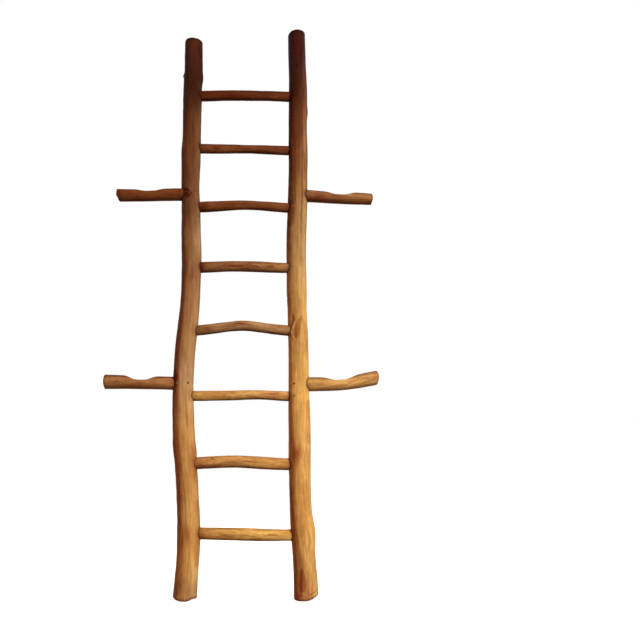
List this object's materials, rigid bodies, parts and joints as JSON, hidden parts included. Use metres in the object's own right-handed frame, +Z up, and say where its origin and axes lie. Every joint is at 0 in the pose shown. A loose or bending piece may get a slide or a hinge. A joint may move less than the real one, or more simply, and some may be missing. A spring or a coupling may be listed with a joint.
{
  "type": "clothes ladder",
  "caption": "Leaning clothes ladder made of natural teak branches: gnarled round poles, bowed rungs, and notched side pegs for coat hangers.",
  "frame": {"origin": "on the floor, midway between the tips of the side pegs, with the ladder upright", "axes": "+X from the left pole to the right one as seen from the front, +Y back towards the wall that the ladder leans on, +Z up the poles"},
  "size_m": [0.8712, 0.0812, 1.8861],
  "materials": {
    "pole_wood": "satin oil",
    "rung_wood": "satin oil",
    "peg_wood": "satin oil",
    "dowel_end_grain": "satin oil"
  },
  "bodies": {
    "root": {"left_peg_dowels": "dowel_end_grain", "left_pole": "pole_wood", "left_rung_dowels": "dowel_end_grain", "lower_left_peg": "peg_wood", "lower_right_peg": "peg_wood", "right_peg_dowels": "dowel_end_grain", "right_pole": "pole_wood", "right_rung_dowels": "dowel_end_grain", "rung_1": "rung_wood", "rung_2": "rung_wood", "rung_3": "rung_wood", "rung_4": "rung_wood", "rung_5": "rung_wood", "rung_6": "rung_wood", "rung_7": "rung_wood", "rung_8": "rung_wood", "upper_left_peg": "peg_wood", "upper_right_peg": "peg_wood"}
  },
  "joints": []
}
